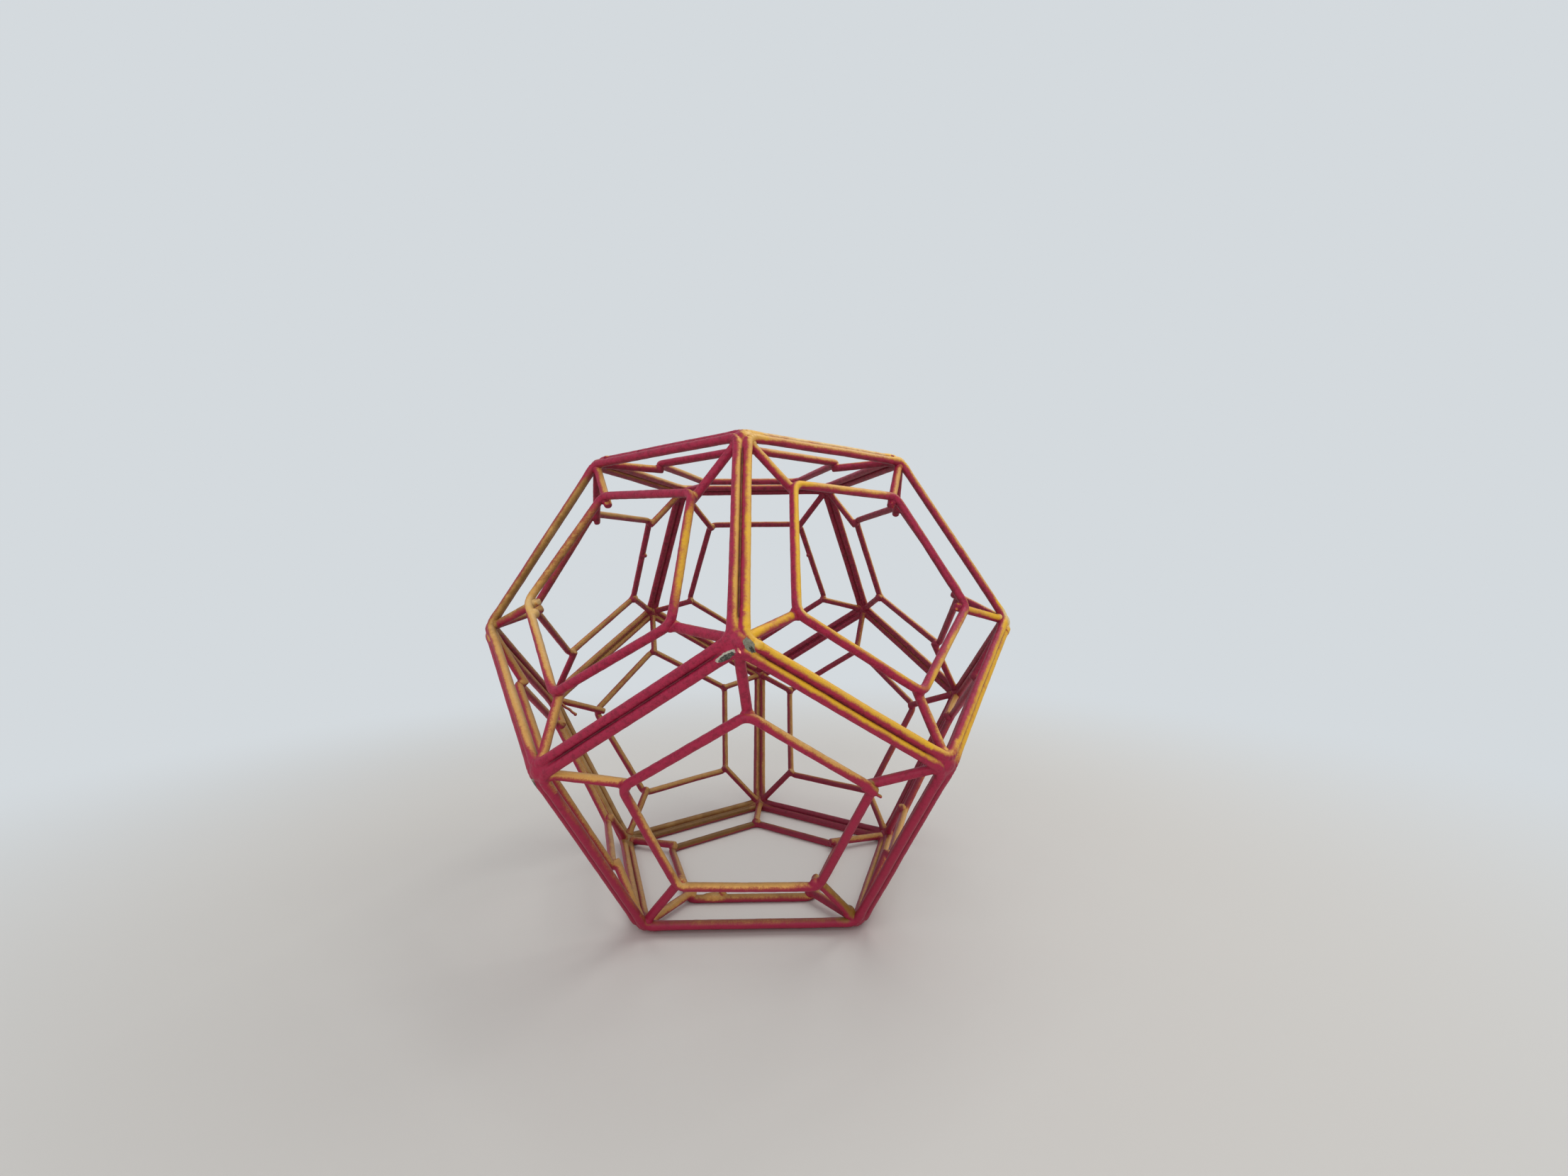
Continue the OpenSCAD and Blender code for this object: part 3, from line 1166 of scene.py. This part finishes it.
        # Painted shade: inward faces and grooves blend towards a dark colour
        dusk = tree.coat("paint_shade") * (self.dusk_share + mottle.swing(self.dusk_share))
        colour = tree.blend(dusk, colour, self.dusk)
        height = peel * self.peel_height + grit * self.grit_height
        metal = cover * self.gold_metal
        ragged = tree.noise(*self.chip_grain) if chips else None
        for chip in chips:
            colour, gone = chip.show(tree, ragged, colour)
            height = height - gone * self.chip_depth
            metal = metal * (1 - gone)
        bump = tree.add("ShaderNodeBump", {}, {"Height": height / MM, "Distance": MM, "Strength": 1.0})
        shader = tree.add("ShaderNodeBsdfPrincipled", {}, {
            "Base Color": colour, "Roughness": self.roughness + peel.swing(self.roughness_swing),
            "Metallic": metal, "Normal": bump, "IOR": self.ior, "Specular IOR Level": self.specular})
        tree.add("ShaderNodeOutputMaterial", {}, {"Surface": shader})
        return tree.owner


GREY_PAINT = (0.30, 0.29, 0.22)
PINK_PAINT = (0.75, 0.24, 0.18)
LONG_CHIP = Chip((-3.3, -102.7, 100.9), (0.86, -0.2, 0.5), 3.3, 0.95, off=(0.3, 0.0, -0.3),
                 metal_share=0.78)
ROUND_CHIP = Chip((3.0, -102.4, 103.6), (0.5, 0.33, -0.8), 2.5, 1.2, GREY_PAINT,
                  off=(0.6, 0.2, -1.1), metal_share=0.45)
SMALL_CHIP = Chip((0.3, -103.3, 102.4), (0.4, 0.0, -0.9), 0.8, 0.35, PINK_PAINT, PINK_PAINT)
EDGE_CHIP = Chip((-61.9, -80.8, 61.2), (-0.2, 0.3, -0.9), 2.6, 1.1, GREY_PAINT, metal_share=0.85)
CHIPS = {
    "lower_front_rim": (LONG_CHIP, ROUND_CHIP),
    "upper_front_right_rim": (ROUND_CHIP,),
    "upper_front_corner_bead": (LONG_CHIP, ROUND_CHIP, SMALL_CHIP),
    "lower_left_rim": (EDGE_CHIP,),
    "lower_front_left_corner_bead": (EDGE_CHIP,),
    "lower_right_rim": (Chip((61.6, -81.4, 62.6), (0.6, -0.6, -0.5), 1.0, 0.5),),
}


@dataclass
class PaintShop:
    """Paints finished pieces and hands them to the frame."""

    spray: Spray
    paint: CagePaint = field(default_factory=CagePaint)
    count: int = 0

    def finish(self, piece: bpy.types.Object, make: Make, place: str) -> None:
        """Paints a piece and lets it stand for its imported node.

        Args:
            piece: The finished mesh.
            make: Kind of piece.
            place: Its place on the cage, as in the node's name.
        """
        piece.name = piece.data.name = make.piece(place)
        Bench.take(piece)
        bpy.ops.object.shade_smooth()
        mesh = piece.data
        coats = self.spray.coats(make, place, Bench.points(piece), Bench.rows(mesh.vertices, "normal"))
        for name, amount in coats.items():
            layer = mesh.attributes.new(name, "FLOAT", "POINT")
            layer.data.foreach_set("value", amount.astype(np.float32))
        mesh.materials.clear()
        mesh.materials.append(self.paint.material(f"paint_{piece.name}", CHIPS.get(piece.name, ())))
        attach(piece, BODY)
        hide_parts(make.node(place))
        self.count += 1
        log.info("%-28s %6d faces", piece.name, len(mesh.polygons))


@dataclass
class Maker:
    """Someone who makes pieces, which all get the same hand work and paint."""

    work: HandWork
    shop: PaintShop


@dataclass
class WireLoops(Maker):
    """The rims and the inner loops: closed, bent wires."""

    sides: int = 12
    pitch: float = 2.2 * MM
    bend_steps: int = 6
    fill_r: float = 0.5 * MM

    def build(self, name: str, corner: float, bend: float) -> bpy.types.Object:
        """Bends one closed wire round the origin.

        Args:
            name: Name of the wire.
            corner: Distance from the middle to the sharp corners of its centre line.
            bend: Radius of its centre line in the corners.

        Returns:
            The wire, lying flat.
        """
        straight = 2 * (corner * math.sin(HALF_TURN) - bend * math.tan(HALF_TURN))
        steps = max(1, round(straight / self.pitch))
        ways = [Matrix.Rotation(HALF_TURN + CORNER_TURN * k, 3, "Z") @ Vector((0, 1, 0))
                for k in range(CORNERS)]
        flat = corner * math.cos(HALF_TURN)
        start = flat * Vector((math.cos(HALF_TURN), math.sin(HALF_TURN), 0)) - ways[0] * straight / 2
        drawn_in_by_subdivision = (6 + 2 * math.cos(math.tau / self.sides)) / 8
        Bench.wire_end(start, CAGE.wire_r / drawn_in_by_subdivision, self.sides,
                       (QUARTER_TURN, 0, HALF_TURN + math.pi), "NOTHING")
        for k, way in enumerate(ways):
            Bench.pull(way * straight, steps)
            pivot = Matrix.Rotation(CORNER_TURN * (k + 1), 3, "Z") @ Vector(
                (corner - bend / math.cos(HALF_TURN), 0, 0))
            bpy.ops.mesh.spin(steps=self.bend_steps, angle=-CORNER_TURN, center=pivot, axis=(0, 0, 1))
        wire = Bench.made(name)
        Bench.close(wire)
        Bench.apply(wire, "SUBSURF", levels=1, render_levels=1)
        return wire

    def dress(self, wire: bpy.types.Object, make: Make, panel: Panel) -> None:
        """Adds lumps and hand work, and paints the wire.

        Args:
            wire: The wire in its place.
            make: Its kind.
            panel: Its panel.
        """
        if add_lumps(wire, make.piece(panel.name)):
            self.work.fuse(wire)
        self.work.knock(wire)
        self.shop.finish(wire, make, panel.name)

    def fill_pattern(self) -> bpy.types.Object:
        """Draws the paint that fills the groove between two rims, which the groove's painted shade
        darkens.

        Returns:
            The fill, along +Y.
        """
        length = CAGE.groove_length
        Bench.wire_end((0, -length / 2, 0), self.fill_r, self.sides, (QUARTER_TURN, 0, 0))
        Bench.pull(Vector((0, length, 0)), round(length / self.pitch))
        fill = Bench.made("fill_pattern")
        Bench.close(fill)
        return fill

    def make_rims(self) -> None:
        """Bends one rim and copies it to every panel, with the paint in its grooves."""
        first = self.build("rim_pattern", CAGE.rim_corner, CAGE.rim_bend)
        filler = self.fill_pattern()
        for number, panel in enumerate(PANELS):
            rim = Bench.copy(first, panel.name)
            Bench.set_down(rim, panel.place() @ Matrix.Rotation(panel.first, 4, "Z"))
            for side in own_sides(number):
                fill = Bench.copy(filler, "fill")
                Bench.set_down(fill, panel.groove(side))
                Bench.join([rim, fill])
            self.dress(rim, Make.RIM, panel)
        bpy.data.objects.remove(first)
        bpy.data.objects.remove(filler)

    def make_loops(self) -> None:
        """Bends each panel's own inner loop."""
        for panel in PANELS:
            loop = self.build(panel.name, CAGE.loop_corner * panel.loop_size, CAGE.loop_bend)
            Bench.set_down(loop, panel.place() @ panel.loop_place())
            self.dress(loop, Make.LOOP, panel)


@dataclass
class SpokeSets(Maker):
    """The spokes of each panel, with their weld metal."""

    sides: int = 20
    paint_thickness: float = 0.03 * MM
    pattern_length: float = 20 * MM
    end_bevel: float = 0.55 * MM
    slack: float = 0.01 * MM
    loop_bead: Triple = (1.9 * MM, 2.3 * MM, 1.8 * MM)
    loop_bead_rise_share: float = 0.45
    rim_bead: Triple = (2.4 * MM, 2.2 * MM, 1.7 * MM)
    rim_bead_middle: Triple = (0.6 * MM, 0, 0.4 * MM)

    @property
    def bar_r(self) -> float:
        """Radius of a painted spoke."""
        return CAGE.wire_r + self.paint_thickness

    def pattern(self) -> bpy.types.Object:
        """Models one spoke with a bead at each end.

        Returns:
            The spoke along +X, from the rim at 0 to the inner loop, with +Z outwards.
        """
        length = self.pattern_length + CAGE.spoke_overrun
        Bench.clear()
        bpy.ops.mesh.primitive_cylinder_add(
            vertices=self.sides, radius=self.bar_r, depth=length, end_fill_type="NGON",
            location=(length / 2, 0, 0), rotation=(0, QUARTER_TURN, 0))
        bar = Bench.made("spoke_pattern")
        bpy.ops.object.mode_set(mode="EDIT")
        bpy.ops.mesh.select_mode(type="EDGE")
        bpy.ops.mesh.select_all(action="DESELECT")
        bpy.ops.object.mode_set(mode="OBJECT")
        Bench.pick(bar, Bench.points(bar)[:, 0] > length / 2)
        bpy.ops.object.mode_set(mode="EDIT")
        bpy.ops.mesh.bevel(offset=self.end_bevel, segments=BEVEL_STEPS)
        bpy.ops.mesh.select_all(action="DESELECT")
        rise = CAGE.spoke_loop_drop * self.loop_bead_rise_share
        Bench.ball((self.pattern_length, 0, rise), self.loop_bead)
        Bench.ball(self.rim_bead_middle, self.rim_bead)
        bpy.ops.object.mode_set(mode="OBJECT")
        return bar

    def cut(self, pattern: bpy.types.Object, start: Vector, cross: Vector,
            overrun: float) -> bpy.types.Object:
        """Cuts a copy of the spoke to length and lays it from the rim to the inner loop.

        Args:
            pattern: The spoke that is copied.
            start: Its end at the rim, in the flat panel.
            cross: Its crossing with the inner loop, in the flat panel.
            overrun: Length past that crossing.

        Returns:
            The spoke, lying in the flat panel.
        """
        spoke = Bench.copy(pattern, "spoke")
        way = cross - start
        Bench.shift(spoke, Bench.points(spoke)[:, 0] > self.pattern_length / 2,
                    way.length - self.pattern_length)
        if overrun > CAGE.spoke_overrun:
            points = Bench.points(spoke)
            end = way.length + CAGE.spoke_overrun
            tip = points[:, 0] > end - self.end_bevel - self.slack
            slim = np.hypot(points[:, 1], points[:, 2]) < self.bar_r + self.slack
            Bench.shift(spoke, tip & slim & self._of_bar(len(points)), overrun - CAGE.spoke_overrun)
        ahead = way.normalized()
        out = (Vector((0, 0, 1)) - ahead * ahead.z).normalized()
        turn = Matrix((ahead, out.cross(ahead), out)).transposed().to_4x4()
        Bench.set_down(spoke, Matrix.Translation(start) @ turn)
        return spoke

    @staticmethod
    def _of_bar(count: int) -> np.ndarray:
        """Which of a spoke's points are the bar's own, and not one of its two beads'."""
        ball_points = BALL_SIDES * (BALL_RINGS - 1) + 2
        return np.arange(count) < count - 2 * ball_points

    def build(self) -> None:
        """Makes every panel's five spokes as one welded set."""
        pattern = self.pattern()
        for panel in PANELS:
            spokes = []
            for k in range(CORNERS):
                start = panel.rim_point(k) - Vector((0, 0, CAGE.spoke_rim_drop))
                cross = panel.loop_point(k) - Vector((0, 0, CAGE.spoke_loop_drop))
                overrun = dict(panel.long_spokes).get(k, CAGE.spoke_overrun / MM) * MM
                spokes.append(self.cut(pattern, start, cross, overrun))
            spoke_set = Bench.join(spokes)
            Bench.set_down(spoke_set, panel.place())
            add_lumps(spoke_set, Make.SPOKES.piece(panel.name))
            self.work.fuse(spoke_set)
            self.work.knock(spoke_set)
            self.shop.finish(spoke_set, Make.SPOKES, panel.name)
        bpy.data.objects.remove(pattern)


@dataclass
class CornerBeads(Maker):
    """The welds where three panels meet."""

    reach: Triple = (3.1 * MM, 3.1 * MM, 2.1 * MM)
    ball_sides: int = 24
    ball_rings: int = 14
    web_length: float = 6.2 * MM
    web_start: float = 0.8 * MM
    web_drop: float = 1.15 * MM
    web_rise: float = 0.06
    web_r: Pair = (1.75 * MM, 0.55 * MM)
    web_sides: int = 20
    sleeve_length: float = 7 * MM
    sleeve_r: Pair = (1.66 * MM, 1.38 * MM)
    sleeve_sides: int = 24

    def pattern(self) -> bpy.types.Object:
        """Models one weld, with its webs in the three grooves.

        Returns:
            The weld, with +Z straight out of the cage's corner.
        """
        Bench.clear()
        Bench.ball((0, 0, -CAGE.weld_depth), self.reach, self.ball_sides, self.ball_rings)
        bpy.ops.object.mode_set(mode="EDIT")
        for k in range(PANELS_AT_CORNER):
            turn = Matrix.Rotation(math.tau * k / PANELS_AT_CORNER, 4, "Z")
            web = (turn @ Matrix.Rotation(CAGE.edge_dip, 4, "Y")
                   @ Matrix.Translation((self.web_length / 2 + self.web_start, 0, -self.web_drop))
                   @ Matrix.Rotation(QUARTER_TURN - self.web_rise, 4, "Y"))
            Bench.cone(web, self.web_r, self.web_length, self.web_sides)
            self._sleeve(turn)
        weld = Bench.made("weld_pattern")
        self.work.fuse(weld)
        return weld

    def _sleeve(self, turn: Matrix) -> None:
        """Adds the thin skin of metal that runs out along one rim's bend.

        Args:
            turn: Turn of that rim round the corner.
        """
        plane = (turn @ Matrix.Rotation(-CAGE.corner_lean, 4, "Y")
                 @ Matrix.Translation((CAGE.rim_corner - CAGE.face_corner, 0, 0)))
        pivot = plane @ Matrix.Translation((-CAGE.rim_bend / math.cos(HALF_TURN), 0, 0))
        for share in (-1, -0.5, 0, 0.5, 1):
            spot = pivot @ Matrix.Rotation(HALF_TURN * share, 4, "Z") @ Vector((CAGE.rim_bend, 0, 0))
            Bench.ball(spot, (self.sleeve_r[0],) * 3)
        reach = CAGE.rim_bend * math.tan(HALF_TURN) + self.sleeve_length / 2
        for side in (-1, 1):
            arm = (plane @ Matrix.Rotation(side * (QUARTER_TURN + HALF_TURN), 4, "Z")
                   @ Matrix.Translation((reach, 0, 0)) @ Matrix.Rotation(QUARTER_TURN, 4, "Y"))
            Bench.cone(arm, self.sleeve_r, self.sleeve_length, self.sleeve_sides)

    def build(self) -> None:
        """Lays a weld on all twenty corners."""
        corners = [(f"top_{side}", 0, k) for k, side in enumerate(EVEN_SIDES)]
        corners += [(f"upper_{side}", LOWER + k, 2) for k, side in enumerate(EVEN_SIDES)]
        corners += [(f"lower_{side}", UPPER + k, 0) for k, side in enumerate(ODD_SIDES)]
        corners += [(f"bottom_{side}", BOTTOM, -k % CORNERS) for k, side in enumerate(ODD_SIDES)]
        pattern = self.pattern()
        for place, panel, corner in corners:
            weld = Bench.copy(pattern, place)
            Bench.set_down(weld, PANELS[panel].corner_place(corner))
            self.work.knock(weld)
            self.shop.finish(weld, Make.WELD, place)
        bpy.data.objects.remove(pattern)


@dataclass
class StrayFiller(Maker):
    """The thin filler wire that the welder left on the lower left corner."""

    radius: float = 0.625 * MM
    sides: int = 12
    root: float = 0.6 * MM
    length: float = 10.5 * MM
    steps: int = 14
    sway: float = 0.12 * MM
    sway_turn: float = 1.1
    ball_r: float = 0.8 * MM
    ball_sides: int = 16
    ball_rings: int = 10
    grain: float = 0.12 * MM
    weld_r: float = 2.85 * MM
    panel: int = UPPER + ODD_SIDES.index("left")
    lean: float = math.radians(139)
    turn: float = math.radians(-1)

    def build(self) -> None:
        """Draws the wire out of its weld, with a melted ball on its end."""
        Bench.wire_end((0, 0, self.weld_r - self.root), self.radius, self.sides)
        for k in range(self.steps):
            sway = self.sway * math.sin(k * self.sway_turn)
            Bench.pull(Vector((sway, -sway / 2, (self.length + self.root) / self.steps)), 1)
        bpy.ops.mesh.select_all(action="DESELECT")
        Bench.ball((0, 0, self.weld_r + self.length), (self.ball_r,) * 3, self.ball_sides,
                   self.ball_rings)
        wire = Bench.made("filler_wire")
        Bench.close(wire)
        Bench.set_down(wire, PANELS[self.panel].corner_place(0)
                       @ Matrix.Translation((0, 0, -CAGE.weld_depth))
                       @ Matrix.Rotation(self.turn, 4, "Z") @ Matrix.Rotation(self.lean, 4, "Y"))
        self.work.fuse(wire, self.grain)
        self.shop.finish(wire, Make.FILLER, "whisker")


@dataclass(frozen=True)
class Lamp:
    """A soft square light that looks at the cage."""

    name: str
    at: Triple
    size: float
    power: float
    aim: Triple = (0, 0, 90 * MM)

    def hang(self) -> None:
        """Hangs the light."""
        Bench.clear()
        look = (Vector(self.aim) - Vector(self.at)).to_track_quat("-Z", "Y").to_euler()
        bpy.ops.object.light_add(type="AREA", location=self.at, rotation=look)
        lamp = bpy.context.active_object
        lamp.name = self.name
        lamp.data.shape = "SQUARE"
        lamp.data.size = self.size
        lamp.data.energy = self.power


@dataclass(frozen=True)
class Studio:
    """A pale floor that fades into a pale wall, soft light and the photograph's camera."""

    eye: Triple = (9.8235 * MM, -258.4768 * MM, 119.2943 * MM)
    turn: Triple = (89.63901805, 0.70548036, -0.85159206)
    lens: float = 13.8611
    sensor: float = 36.0
    view_reach: Pair = (0.01, 60.0)
    floor_colour: Triple = (0.74, 0.715, 0.67)
    floor_roughness: float = 0.6
    floor_ior: float = 1.45
    floor_specular: float = 0.2
    floor_size: float = 60.0
    fade: Pair = (0.15, 0.5)
    wall_colour: Triple = (0.66, 0.70, 0.73)
    fill_colour: Triple = (0.95, 0.97, 1.0)
    fill: float = 0.50
    lamps: tuple[Lamp, ...] = (
        Lamp("high_light", (0.55, 0.30, 1.1), 1.0, 5.0),
        Lamp("front_light", (-0.4, -1.3, 0.9), 1.6, 6.0),
    )

    def build(self) -> None:
        """Sets up floor, light and camera."""
        self._floor()
        self._world()
        for lamp in self.lamps:
            lamp.hang()
        self._camera()
        bpy.context.scene.view_settings.view_transform = "Standard"

    def _floor(self) -> None:
        """Lays the floor, which the camera sees fade into the wall's colour."""
        Bench.clear()
        bpy.ops.mesh.primitive_plane_add(size=self.floor_size)
        floor = Bench.made("studio_floor")
        tree = NodeTree(bpy.data.materials.new("pale_floor"))
        near = tree.add("ShaderNodeBsdfPrincipled", {}, {
            "Base Color": self.floor_colour, "Roughness": self.floor_roughness,
            "IOR": self.floor_ior, "Specular IOR Level": self.floor_specular})
        far = tree.add("ShaderNodeEmission", {}, {"Color": self.wall_colour, "Strength": 1.0})
        away = tree.vector("LENGTH", tree.place(), out="Value").step(*self.fade)
        mix = tree.add("ShaderNodeMixShader", {}, {0: away * tree.ray("Camera"), 1: near, 2: far})
        tree.add("ShaderNodeOutputMaterial", {}, {"Surface": mix})
        floor.data.materials.append(tree.owner)

    def _world(self) -> None:
        """Gives the object even light, and the camera a pale wall behind it."""
        tree = NodeTree(bpy.data.worlds.new("studio_air"))
        bpy.context.scene.world = tree.owner
        seen = tree.ray("Camera").most(tree.ray("Glossy")).most(tree.ray("Transmission"))
        air = tree.add("ShaderNodeBackground", {}, {"Color": self.fill_colour, "Strength": self.fill})
        wall = tree.add("ShaderNodeBackground", {}, {"Color": self.wall_colour, "Strength": 1.0})
        mix = tree.add("ShaderNodeMixShader", {}, {0: seen, 1: air, 2: wall})
        tree.add("ShaderNodeOutputWorld", {}, {"Surface": mix})

    def _camera(self) -> None:
        """Puts the camera where the photograph was taken."""
        Bench.clear()
        bpy.ops.object.camera_add(location=self.eye,
                                  rotation=tuple(math.radians(angle) for angle in self.turn))
        camera = bpy.context.active_object
        camera.name = "photo_camera"
        camera.data.sensor_fit = "HORIZONTAL"
        camera.data.sensor_width = self.sensor
        camera.data.lens = self.lens
        camera.data.clip_start, camera.data.clip_end = self.view_reach
        bpy.context.scene.camera = camera


def main() -> None:
    """Builds the cage and its studio, and logs how many pieces stand for the nodes."""
    logging.basicConfig(level=logging.INFO, format="%(name)s: %(message)s")
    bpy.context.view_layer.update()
    work, shop = HandWork(), PaintShop(Spray(TOUCHES, SPOTS))
    loops = WireLoops(work, shop)
    loops.make_rims()
    loops.make_loops()
    SpokeSets(work, shop).build()
    CornerBeads(work, shop).build()
    StrayFiller(work, shop).build()
    Studio().build()
    log.info("%d pieces for %d nodes", shop.count, len(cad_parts))


if __name__ == "__main__":
    main()
